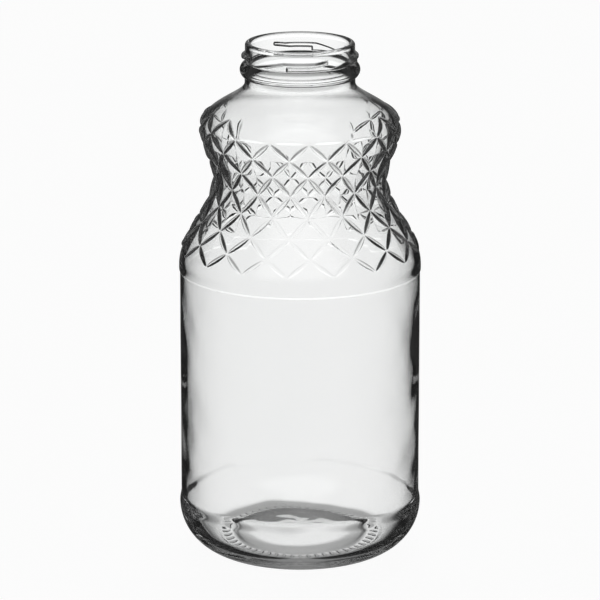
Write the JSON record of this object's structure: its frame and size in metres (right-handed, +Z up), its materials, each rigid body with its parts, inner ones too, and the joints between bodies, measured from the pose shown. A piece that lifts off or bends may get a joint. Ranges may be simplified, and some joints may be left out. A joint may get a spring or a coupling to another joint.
{
  "type": "glass milk bottle",
  "caption": "Clear glass milk bottle with a diamond-quilted waist, recessed label panel, push-up base and a lug-type twist-off finish, open and without a closure.",
  "frame": {"origin": "centre of the base, on the plane the bottle stands on", "axes": "+Z up along the bottle's axis, -Y is the front, +X to the right seen from the front"},
  "size_m": [0.098, 0.098, 0.21],
  "materials": {
    "flint_glass": "clear flint glass, fire-polished"
  },
  "bodies": {
    "root": {"bearing_knurls": "flint_glass", "base_cup": "flint_glass", "heel_band": "flint_glass", "label_panel": "flint_glass", "lower_shoulder": "flint_glass", "lower_quilting": "flint_glass", "upper_quilting": "flint_glass", "upper_shoulder": "flint_glass", "neck_ring": "flint_glass", "transfer_bead": "flint_glass", "thread_wall": "flint_glass", "thread_lugs": "flint_glass", "sealing_lip": "flint_glass"}
  },
  "joints": []
}
